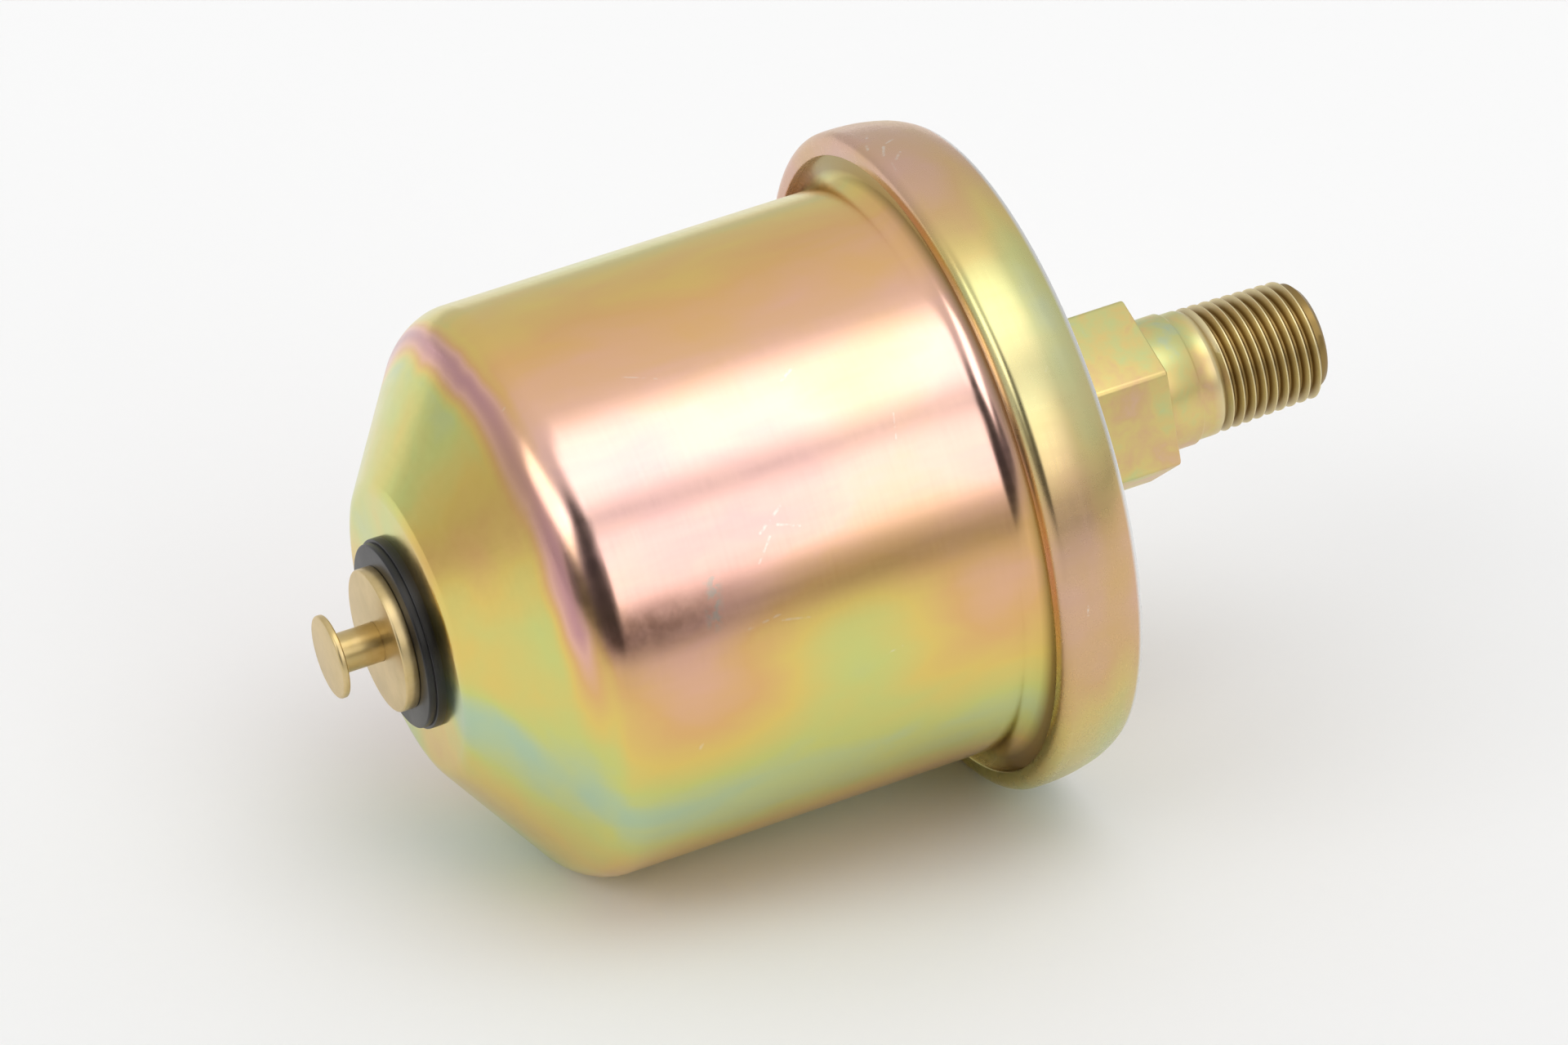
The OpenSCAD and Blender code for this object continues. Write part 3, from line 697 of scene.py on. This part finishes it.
def scuff(tree, station, turn, radius, length, slope, width):
    """1 on a thin mark on a turned surface, 0 off it. Sizes in mm, turn and slope in degrees."""
    turn, slope = math.radians(turn), math.radians(slope)
    outward = facing * math.cos(turn) + over * math.sin(turn)
    round_way = over * math.cos(turn) - facing * math.sin(turn)
    heading = X_AXIS * math.cos(slope) + round_way * math.sin(slope)
    spot = place(tree, METRES_TO_MM)
    ragged = noise(tree, spot, RAGGED_SCALE, 2, 0.6)
    offset = vector(tree, "SUBTRACT", spot, tuple(X_AXIS * station + outward * radius))
    ahead = add(tree, "ShaderNodeClamp", (
        ("Value", vector(tree, "DOT_PRODUCT", offset, tuple(heading))),
        ("Min", -length / 2), ("Max", length / 2),
    )).outputs["Result"]
    sockets = ((0, tuple(heading)), ("Scale", ahead))
    nearest = add(tree, "ShaderNodeVectorMath", sockets, operation="SCALE").outputs["Vector"]
    away = vector(tree, "DISTANCE", offset, nearest)
    line = spread(tree, away, width, CORE_SHARE * width)
    return times(tree, line, spread(tree, ragged, RAGGED_LOW, RAGGED_HIGH))


def scuffed(tree, colour, marks, tone, strength):
    """Lays thin marks of one tone over a colour."""
    for mark in marks:
        colour = mix(tree, times(tree, scuff(tree, *mark), strength), colour, tone)
    return colour


# %% [markdown]
# Under the film the steel keeps the marks of its making: a drawn grain along the axis and faint
# rings round it. Both are noise, stretched one way or the other. They change the gloss a little and
# tilt the surface, which spreads the reflections as on the real part.

# %% A helper for plated steel
DRAWN_STRETCH = (0.12, 1, 1)
RING_STRETCH = (1, 0.05, 0.05)
GRAIN_RELIEF = 0.00002


def metal(tree, shader, colour, gloss, grain_scale, grain_depth):
    """Plugs the colour in and gives the metal its grain, its rings and its gloss."""
    drawn = noise(tree, place(tree, DRAWN_STRETCH), grain_scale, 3, 0.6)
    rings = noise(tree, place(tree, RING_STRETCH), 3 * grain_scale, 2, 0.6)
    grain = total(tree, times(tree, drawn, 0.6), times(tree, rings, 0.4))
    rough = spread(tree, grain, 0.3, 0.7, gloss - 0.03, gloss + 0.05)
    plug(tree, shader.inputs["Base Color"], colour)
    plug(tree, shader.inputs["Metallic"], 1.0)
    plug(tree, shader.inputs["Roughness"], rough)
    plug(tree, shader.inputs["Normal"], bump(tree, grain, grain_depth, GRAIN_RELIEF))


# %% [markdown]
# The can shows most of the film. Its wall is olive on top, gold, pink where it faces the lens, and
# sea green below, with pink and yellow patches between. The cone has its own colours, and they
# slant. One map for both could be stretched over the shoulder, but two maps with a bent border
# between them leave room there for the mauve ring that the photograph shows.

# %% The film on the can's wall and cone
WALL_FILM = (
    (-1.0, 0.5), (-0.92, 0.16), (-0.8, 0.16), (-0.62, 0.36), (-0.42, 0.46), (-0.25, 0.6),
    (0.0, 0.8), (0.35, 0.8), (0.55, 0.66), (0.75, 0.52), (0.9, 0.42), (1.0, 0.22),
)
CONE_FILM = (
    (-1.0, 0.4), (-0.85, 0.06), (-0.68, 0.05), (-0.5, 0.28), (-0.2, 0.24), (0.0, 0.3),
    (0.25, 0.56), (0.45, 0.46), (0.62, 0.38), (0.8, 0.16), (1.0, 0.2),
)
PATCH_STATION, PATCH_PITCH = -53, 26.7
SLANT_STATION, SLANT = -63, 0.02


def wall_thickness(tree, station, height):
    """Olive on top, gold, a pink front, pink and yellow patches, then sea green below."""
    from_patch = calc(tree, "ADD", station, -PATCH_STATION)
    wave = calc(tree, "COSINE", times(tree, from_patch, math.tau / PATCH_PITCH))
    patches = times(tree, wave, hill(tree, height, -0.5, 0.36), 0.24)
    golden = times(tree, hill(tree, station, -32, 10), hill(tree, height, 0.25, 0.6), -0.08)
    return total(
        tree, level(tree, height, WALL_FILM), patches, golden,
        clouds(tree, 70, 0.44), clouds(tree, 260, 0.2, 3),
    )


def cone_thickness(tree, station, height):
    """Yellow green on top, amber, yellow, then a slanting sea green."""
    slant = total(tree, height, times(tree, calc(tree, "ADD", station, -SLANT_STATION), SLANT))
    return total(
        tree, level(tree, slant, CONE_FILM),
        clouds(tree, 75, 0.6, 2, 0.8), clouds(tree, 260, 0.14, 3, 0.8),
    )


# %% The can's scuffs: station, turn, radius, length, slope, width
CAN_SCUFFS = (
    (-43.5, -1.5, 23.5, 2.6, 35, 0.16), (-42.2, -3.5, 23.5, 1.8, -20, 0.14),
    (-44.6, -6.5, 23.5, 2.2, 50, 0.14), (-45.8, -19.5, 23.5, 3.2, 8, 0.14),
    (-43.4, -21.0, 23.5, 2.4, -12, 0.12), (-48.5, 33.0, 23.5, 3.0, -25, 0.1),
    (-38.0, 24.0, 23.5, 1.2, 30, 0.16), (-52.6, -41.0, 23.5, 0.8, 60, 0.2),
    (-58.9, 38.0, 22.6, 1.6, 20, 0.14), (-59.6, 33.0, 21.8, 1.0, 70, 0.12),
    (-36.0, -34.0, 23.5, 1.5, 10, 0.1), (-31.5, 8.0, 23.5, 2.0, 75, 0.1),
)
WIDE_SCUFF = (-49.6, -12.6, 23.5, 3.4, 80, 0.9)
SCUFF_TONE, WIDE_SCUFF_TONE = (0.86, 0.8, 0.72), (0.4, 0.46, 0.4)
print("scuffs on the can:", len(CAN_SCUFFS) + 1)

# %% The can's finish
CONE_END, WALL_START = -59.8, -58.2
MAUVE = (0.9, 0.9, 0.9)
HORIZON_REFLECTION_TONE, AMBER_TONE = (0.25, 0.12, 0.08), (0.5, 0.32, 0.07)
PAINTED_HIGHLIGHT_TONE, LIP_PAINTED_SHADE_TONE = (0.82, 0.64, 0.55), (0.3, 0.19, 0.05)


def can_finish():
    """Wall and cone films, a mauve ring between, painted dark reflection, highlight and lip shade.
    """
    material, tree, shader = new_material("can_yellow_zinc")
    station, radius, height = part_place(tree)
    bent = total(tree, station, clouds(tree, 90, 1.4, 2, 1.0))
    on_wall = spread(tree, bent, CONE_END, WALL_START, kind="SMOOTHSTEP")
    on_cone = calc(tree, "SUBTRACT", 1.0, on_wall)
    ring = times(tree, hill(tree, bent, -60.1, 1.7), spread(tree, height, -0.6, -0.2))
    cone_film = cone_thickness(tree, station, height)
    thickness = mix(tree, on_wall, cone_film, wall_thickness(tree, station, height))
    thickness = mix(tree, ring, thickness, MAUVE)
    # A dark brown band just under the wall's front, strongest near the shoulder: a painted
    # reflection of the dark horizon.
    painted_horizon_reflection = times(
        tree, on_wall, hill(tree, height, -0.235, 0.13), hill(tree, station, -56, 12),
        spread(tree, noise(tree, place(tree), 500, 3, 0.6), 0.35, 0.6, 0.4, 0.78),
    )
    amber = times(tree, hill(tree, height, 0.42, 0.35), on_cone, 0.3)
    # A paler pink tone where the wall faces the soft boxes: a painted highlight.
    painted_highlight = times(tree, hill(tree, height, 0.22, 0.5), on_wall, 0.3)
    # Darker olive brown on the flange where it runs under the rim's lip: painted shade in the
    # groove.
    painted_shade_under_lip = times(tree, spread(tree, radius, 23.9, 24.6), 0.85)
    colour = film(tree, thickness)
    for share, tone in (
        (painted_horizon_reflection, HORIZON_REFLECTION_TONE), (amber, AMBER_TONE), (painted_highlight, PAINTED_HIGHLIGHT_TONE), (painted_shade_under_lip, LIP_PAINTED_SHADE_TONE),
    ):
        colour = mix(tree, share, colour, tone)
    colour = scuffed(tree, colour, CAN_SCUFFS, SCUFF_TONE, 0.3)
    colour = scuffed(tree, colour, (WIDE_SCUFF,), WIDE_SCUFF_TONE, 0.5)
    metal(tree, shader, colour, 0.19, 900, 0.05)
    return material


can.data.materials.append(can_finish())
print("nodes in the can's finish:", len(can.data.materials[0].node_tree.nodes))

# %% [markdown]
# The rim is duller than the can, probably because rolling roughened the sheet. It is pink and
# grey on top, yellow green in front, and tan and pink below. Its back edge has worn down to bare
# steel. Wear could be found from the mesh's sharp edges, but here it is one even band, so the
# station and the radius are enough to place it.

# %% The rim's tool marks: station, turn, radius, length, slope, width
RIM_SCUFFS = (
    (-22.0, 61, 27.5, 1.6, 65, 0.18), (-21.4, 58, 27.5, 1.2, 50, 0.16),
    (-22.6, 65, 27.4, 1.4, 75, 0.16), (-20.8, 64, 27.5, 0.9, 30, 0.14),
    (-22.4, 55, 27.4, 1.3, 80, 0.14), (-21.7, 69, 27.5, 1.1, 60, 0.14),
    (-19.6, 8, 27.5, 0.6, 40, 0.14), (-21.2, -33, 27.5, 0.8, 85, 0.12),
    (-22.2, 22, 27.4, 1.5, 88, 0.1), (-22.3, -48, 27.4, 1.7, 86, 0.1),
)
print("tool marks on the rim:", len(RIM_SCUFFS))

# %% The rim's finish
RIM_FILM = (
    (-1.0, 0.2), (-0.85, 0.4), (-0.7, 0.62), (-0.45, 0.7), (-0.25, 0.6), (-0.05, 0.3),
    (0.15, 0.2), (0.45, 0.22), (0.65, 0.5), (0.8, 0.72), (1.0, 0.68),
)
RIM_DULL_TONE, RIM_PAINTED_HIGHLIGHT_TONE = (0.42, 0.37, 0.27), (0.74, 0.72, 0.5)
TOOL_MARK_TONE, BARE_TONE = (0.84, 0.82, 0.74), (0.8, 0.8, 0.79)


def rim_finish():
    """The rim's film, a painted highlight on the crown, tool marks and a worn back edge."""
    material, tree, shader = new_material("rim_yellow_zinc")
    station, radius, height = part_place(tree)
    thickness = total(
        tree, level(tree, height, RIM_FILM), times(tree, hill(tree, station, -18.0, 2.6), -0.12),
        clouds(tree, 80, 0.4, 2, 1.0), clouds(tree, 300, 0.14, 3, 1.0),
    )
    worn = times(tree, spread(tree, station, -16.6, -16.25), spread(tree, radius, 25.9, 26.2))
    # A paler tone on the rim's front, where it faces the soft boxes: a painted highlight.
    painted_highlight = times(tree, hill(tree, height, 0.12, 0.5), 0.3)
    colour = mix(tree, 0.3, film(tree, thickness), RIM_DULL_TONE)
    colour = mix(tree, painted_highlight, colour, RIM_PAINTED_HIGHLIGHT_TONE)
    colour = scuffed(tree, colour, RIM_SCUFFS, TOOL_MARK_TONE, 0.45)
    colour = mix(tree, worn, colour, BARE_TONE)
    metal(tree, shader, colour, 0.27, 900, 0.03)
    return material


rim.data.materials.append(rim_finish())
print("nodes in the rim's finish:", len(rim.data.materials[0].node_tree.nodes))

# %% [markdown]
# The fitting went through the same bath, but its many edges and its thread left it mottled: olive,
# gold and pink in small clouds. In the thread the crests are brassy and the grooves a darker brown.
# The distance from a point to the tapered crest line says how deep in a groove it lies, so the
# darker brown follows the helix with no painting.

# %% The fitting's finish
FITTING_DULL_TONE = (0.6, 0.56, 0.38)
CREST_TONE, GROOVE_TONE = (0.74, 0.63, 0.36), (0.3, 0.2, 0.07)


def fitting_finish():
    """Mottled olive, gold and pink, with brown grooves in the thread."""
    material, tree, shader = new_material("fitting_yellow_zinc")
    station, radius, height = part_place(tree)
    thickness = total(
        tree, spread(tree, height, -1, 1, 0.5, 0.22),
        clouds(tree, 230, 1.0, 3, 1.0), clouds(tree, 700, 0.4, 3, 1.0),
    )
    crest = calc(tree, "SUBTRACT", CREST_R + THREAD_START * TAPER, times(tree, station, TAPER))
    depth = calc(tree, "SUBTRACT", crest, radius)
    threaded = spread(tree, station, 1, 2)
    in_groove = times(tree, spread(tree, depth, 0.05, 0.45), threaded)
    tone = mix(tree, 0.3, film(tree, thickness), FITTING_DULL_TONE)
    tone = mix(tree, threaded, tone, CREST_TONE)
    tone = mix(tree, in_groove, tone, GROOVE_TONE)
    metal(tree, shader, tone, 0.36, 500, 0.14)
    return material


fitting.data.materials.append(fitting_finish())
print("nodes in the fitting's finish:", len(fitting.data.materials[0].node_tree.nodes))

# %% [markdown]
# The stud and the collar are plain brass, the washer is a black moulding, and the pieces inside are
# made of steel, bronze, fibre, rubber, laminate and wire. None of them has a film, so each gets two
# close tones and a matching change of gloss from one noise. A single flat colour would be less
# work, but it would look like plastic.

# %% Finishes of the other pieces
SIMPLE_FINISHES = (
    # slot, name, darker tone, paler tone, metallic, roughness
    ("brass", "matte_brass", (0.6, 0.45, 0.2), (0.72, 0.56, 0.3), 1.0, 0.34),
    (
        "black_moulding", "black_moulding", (0.005, 0.004, 0.004), (0.012, 0.01, 0.009),
        0.0, 0.36,
    ),
    ("fibre", "red_fibre", (0.2, 0.07, 0.04), (0.3, 0.12, 0.07), 0.0, 0.8),
    ("rubber", "black_rubber", (0.015, 0.015, 0.015), (0.03, 0.03, 0.03), 0.0, 0.6),
    ("bronze", "spring_bronze", (0.6, 0.36, 0.2), (0.72, 0.46, 0.28), 1.0, 0.32),
    ("silver", "contact_silver", (0.7, 0.7, 0.68), (0.85, 0.85, 0.83), 1.0, 0.25),
    ("resistance_wire", "resistance_wire", (0.4, 0.36, 0.32), (0.52, 0.47, 0.42), 1.0, 0.35),
    ("brown_laminate", "brown_laminate", (0.16, 0.08, 0.04), (0.24, 0.13, 0.07), 0.0, 0.55),
    ("bare_steel", "bare_steel", (0.42, 0.42, 0.42), (0.56, 0.56, 0.55), 1.0, 0.34),
)
FINE_GRAIN = 300


def simple_finish(name, low, high, metallic, roughness):
    """Two tones mixed by noise, with a matching variation of the gloss."""
    material, tree, shader = new_material(name)
    grain = noise(tree, place(tree), FINE_GRAIN, 4, 0.6)
    rough = spread(tree, grain, 0.3, 0.7, roughness - 0.05, roughness + 0.05)
    plug(tree, shader.inputs["Base Color"], ramp(tree, grain, ((0.35, low), (0.65, high))))
    plug(tree, shader.inputs["Roughness"], rough)
    plug(tree, shader.inputs["Metallic"], metallic)
    return material


finishes = {"plated_steel": can.data.materials[0]}
for slot_name, *values in SIMPLE_FINISHES:
    finishes[slot_name] = simple_finish(*values)
print("finishes:", len(finishes))

# %% Give the other pieces and the measured ones their finishes
for piece, slot_name in ((stud, "brass"), (collar, "brass"), (insulator, "black_moulding")):
    piece.data.materials.append(finishes[slot_name])
for node, measured in frame["nodes"].items():
    measured.data.materials.clear()
    measured.data.materials.append(finishes[slot_of[node]])
print("measured pieces with a finish:", len(frame["nodes"]))

# %% [markdown]
# The sender lies on a pale sheet that touches its rim and the can's shoulder. The sheet's plane is
# found from the rim's lowest point and the tilt of the axis, so that the shadow meets the part.
# From the table come two more directions, towards the lens and to the right of the picture, and
# the lights are placed by those.

# %% The directions of the table
RIM_FOOT = 0.8
table_up = Vector((math.sin(TABLE_TILT), 0, math.cos(TABLE_TILT)))
rim_foot = Vector((front + RIM_FOOT, 0, -RIM_R)) * MM
table_level = rim_foot.dot(table_up)
towards_lens = lens_place - middle
towards_lens = (towards_lens - table_up * towards_lens.dot(table_up)).normalized()
picture_right = table_up.cross(towards_lens)
print("table under the axis, mm:", round((middle.dot(table_up) - table_level) / MM, 2))

# %% The sheet on the table
TABLE_W, TABLE_NEAR, TABLE_FAR = 2.6, 1.0, 1.6
UNIT_GRID = 0.5
under = middle - table_up * (middle.dot(table_up) - table_level)
table_mesh = bmesh.new()
bmesh.ops.create_grid(
    table_mesh, x_segments=1, y_segments=1, size=UNIT_GRID,
    matrix=Matrix.Translation(under + towards_lens * (TABLE_NEAR - TABLE_FAR) / 2)
    @ Matrix((picture_right, -towards_lens, table_up)).transposed().to_4x4()
    @ Matrix.Diagonal((TABLE_W, TABLE_NEAR + TABLE_FAR, 1, 1)),
)
table_data = bpy.data.meshes.new("table")
table_mesh.to_mesh(table_data)
table_mesh.free()
table = bpy.data.objects.new("table", table_data)
bpy.context.scene.collection.objects.link(table)
print("table, metres:", TABLE_W, "by", TABLE_NEAR + TABLE_FAR)

# %% [markdown]
# The sheet is matt paper, nearly white round the sender, with painted shade towards the lens.
# In the photograph the undersides of the sender mirror a darker foreground, and this gives it to
# them. A dark card in front could do the same, but its edge would show in the metal.

# %% The sheet's finish
PAPER_PAINTED_SHADE_TONES = ((0.0, 0.95), (0.3, 0.9), (0.4, 0.86), (1.0, 0.62))
PAPER_FAR, PAPER_NEAR = -0.05, 0.4
paper, paper_tree, paper_shader = new_material("paper")
fibres = noise(paper_tree, place(paper_tree), 900, 4, 0.6)
nearness = vector(paper_tree, "DOT_PRODUCT", place(paper_tree), tuple(towards_lens))
paper_share = spread(paper_tree, nearness, PAPER_FAR, PAPER_NEAR)
# Darker towards the lens: painted shade.
paper_painted_shade = ramp(paper_tree, paper_share, greys(PAPER_PAINTED_SHADE_TONES))
paper_tone = total(paper_tree, paper_painted_shade, times(paper_tree, fibres, 0.01))
plug(paper_tree, paper_shader.inputs["Base Color"], paper_tone)
plug(paper_tree, paper_shader.inputs["Roughness"], 0.9)
plug(paper_tree, paper_shader.inputs["Specular IOR Level"], 0.1)
table_data.materials.append(paper)
print("nodes in the sheet's finish:", len(paper_tree.nodes))

# %% [markdown]
# The light comes from three soft boxes in a pale room: one at the front right, one overhead and a
# small one at the left. Lamps with a surface could stand there, but painted on the surround they
# have the soft edges of real diffusers, and dark areas can be painted in the same way. The camera's
# side of the room is dark, and that makes the dark lines in the can's shoulder and flare.

# %% Helpers for the surround
AHEAD_LEAST = 0.05
world = bpy.data.worlds.new("room")
world.use_nodes = True
bpy.context.scene.world = world
room = world.node_tree
ray = add(room, "ShaderNodeTexCoord").outputs["Generated"]


def direction(azimuth, elevation):
    """A direction from the sender: azimuth 0 is to the lens, 90 to the right of the picture."""
    a, e = math.radians(azimuth), math.radians(elevation)
    along_table = towards_lens * math.cos(a) + picture_right * math.sin(a)
    return along_table * math.cos(e) + table_up * math.sin(e)


def along(axis):
    """How far a ray points along a direction."""
    return vector(room, "DOT_PRODUCT", ray, tuple(axis))


def soft_box(azimuth, elevation, half_width, half_height, edge):
    """1 inside a rectangle of directions in degrees, with a soft edge. 0 outside and behind."""
    outward = direction(azimuth, elevation)
    across = table_up.cross(outward).normalized()
    ahead = calc(room, "MAXIMUM", along(outward), AHEAD_LEAST)
    inside = 1.0
    for axis, half in ((across, half_width), (outward.cross(across), half_height)):
        slope = calc(room, "ABSOLUTE", calc(room, "DIVIDE", along(axis), ahead))
        near, far = math.tan(math.radians(half - edge)), math.tan(math.radians(half + edge))
        inside = times(room, inside, spread(room, slope, far, near, kind="SMOOTHSTEP"))
    return inside


# %% Paint the surround
ROOM_GREYS = ((0, 0.4), (0.5, 0.6), (0.62, 0.68), (0.8, 0.74), (1, 0.9))
BOXES = (
    # name, azimuth, elevation, half width, half height, soft edge, strength
    ("dark side", 0, 26, 21, 30, 5, 0.05),
    ("dark left", -32, 10, 14, 11, 4, 0.1),
    ("dark horizon", 60, 2, 42, 5.5, 3, 0.4),
    ("dip", 62, 50, 40, 5, 4, 0.85),
    ("front right", 38, 31, 14, 15, 5, 1.9),
    ("overhead", 45, 71, 21, 15, 7, 2.2),
    ("left", -50, 35, 19, 10, 3, 2.8),
)
light = ramp(room, spread(room, along(table_up), -1, 1), greys(ROOM_GREYS))
for name, azimuth, elevation, half_width, half_height, edge, strength in BOXES:
    inside = soft_box(azimuth, elevation, half_width, half_height, edge)
    light = mix(room, inside, light, (strength,) * 3)
    print("box:", name, "strength", strength)
plug(room, room.nodes["Background"].inputs["Color"], light)
plug(room, room.nodes["Background"].inputs["Strength"], 1.0)
bpy.context.scene.view_settings.view_transform = "Standard"
